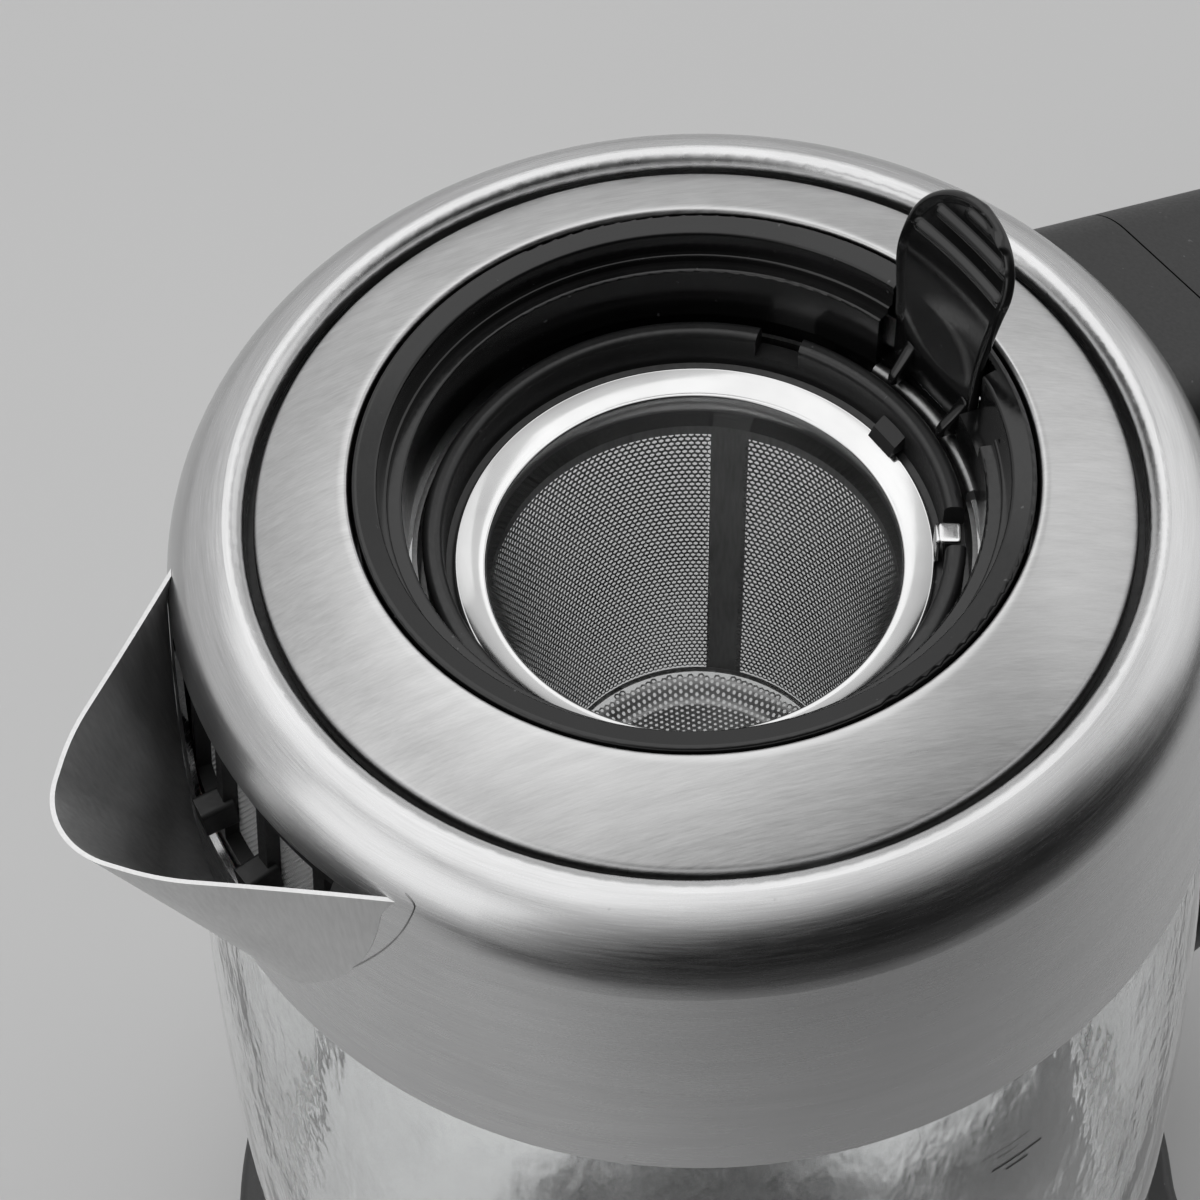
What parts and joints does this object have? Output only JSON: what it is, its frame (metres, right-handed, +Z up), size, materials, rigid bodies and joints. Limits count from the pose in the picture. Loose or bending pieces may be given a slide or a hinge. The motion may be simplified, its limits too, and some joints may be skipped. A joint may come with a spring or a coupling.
{
  "type": "automatic tea maker",
  "caption": "Glass jug with a steel collar, V spout, black handle and a lift-out perforated infuser, standing on a round power base with a sloping panel of push buttons and a dial.",
  "frame": {"origin": "on the jug's axis, in the plane of the table, at the centre of the base's rubber foot ring", "axes": "+Z up along the jug's axis, +X towards the handle, -X towards the spout, -Y towards the control panel"},
  "size_m": [0.207, 0.208, 0.2516],
  "materials": {
    "base_black": "fine spark texture",
    "rubber": "matt",
    "screw_steel": "zinc plated",
    "gloss_black": "polished",
    "board_green": "solder mask",
    "component_grey": "moulded",
    "button_grey": "satin paint",
    "brushed_steel": "brushed round the axis",
    "polished_steel": "polished",
    "aluminium": "cast",
    "silicone": "translucent white",
    "glass": "clear",
    "matt_black": "fine matt",
    "soft_black": "soft touch",
    "mesh_steel": "perforated"
  },
  "bodies": {
    "power_base": {"base_housing": "base_black", "base_underplate": "base_black", "base_foot_ring": "rubber", "base_front_feet": "rubber", "base_screws": "screw_steel", "cord_bush": "matt_black", "power_board": "board_green", "power_components": "component_grey", "base_connector": "matt_black", "control_board": "board_green", "button_switches": "component_grey", "dial_encoder": "component_grey"},
    "jug_contacts": {"jug_connector": "matt_black"},
    "jug": {"jug_bottom_cover": "matt_black", "jug_base_ring": "brushed_steel", "heater_plate": "polished_steel", "heater_seal": "silicone", "heating_element": "aluminium", "thermostat_block": "component_grey", "temperature_probe": "polished_steel", "glass_body": "glass", "glass_seal": "silicone", "steel_collar": "brushed_steel", "spout": "brushed_steel", "spout_strainer_frame": "matt_black", "spout_strainer_mesh": "mesh_steel", "inner_frame": "matt_black", "top_plate": "brushed_steel", "neck_ring": "gloss_black", "neck_band": "polished_steel", "handle_bridge": "matt_black", "handle_grip": "matt_black", "handle_liner": "soft_black", "handle_foot": "matt_black", "handle_screws": "screw_steel"},
    "infuser": {"infuser_holder": "matt_black", "lift_tab": "gloss_black", "basket_flange": "polished_steel", "infuser_basket": "mesh_steel", "infuser_base": "mesh_steel"},
    "dial": {"dial_knob": "brushed_steel"},
    "button_1": {"button_1": "button_grey"},
    "button_2": {"button_2": "button_grey"},
    "button_3": {"button_3": "button_grey"},
    "button_4": {"button_4": "button_grey"}
  },
  "joints": [
    {"name": "jug_lift", "type": "slide", "parent": "power_base", "child": "jug_contacts", "axis": [0, 0, 1], "range_m": [0, 0.06]},
    {"name": "jug_swivel", "type": "hinge", "parent": "jug_contacts", "child": "jug", "pos_m": [0, 0, 0], "axis": [0, 0, 1], "continuous": true},
    {"name": "infuser_lift", "type": "slide", "parent": "jug", "child": "infuser", "axis": [0, 0, 1], "range_m": [0, 0.085]},
    {"name": "dial_turn", "type": "hinge", "parent": "power_base", "child": "dial", "pos_m": [0, -0.1015, 0.02254], "axis": [0, -0.342, 0.9397], "range_deg": [0, 270]},
    {"name": "button_1_press", "type": "slide", "parent": "power_base", "child": "button_1", "axis": [0, 0.342, -0.9397], "range_m": [0, 0.0012], "stiffness_N_per_m": 400, "springref_m": -0.0004},
    {"name": "button_2_press", "type": "slide", "parent": "power_base", "child": "button_2", "axis": [0, 0.342, -0.9397], "range_m": [0, 0.0012], "stiffness_N_per_m": 400, "springref_m": -0.0004},
    {"name": "button_3_press", "type": "slide", "parent": "power_base", "child": "button_3", "axis": [0, 0.342, -0.9397], "range_m": [0, 0.0012], "stiffness_N_per_m": 400, "springref_m": -0.0004},
    {"name": "button_4_press", "type": "slide", "parent": "power_base", "child": "button_4", "axis": [0, 0.342, -0.9397], "range_m": [0, 0.0012], "stiffness_N_per_m": 400, "springref_m": -0.0004}
  ]
}
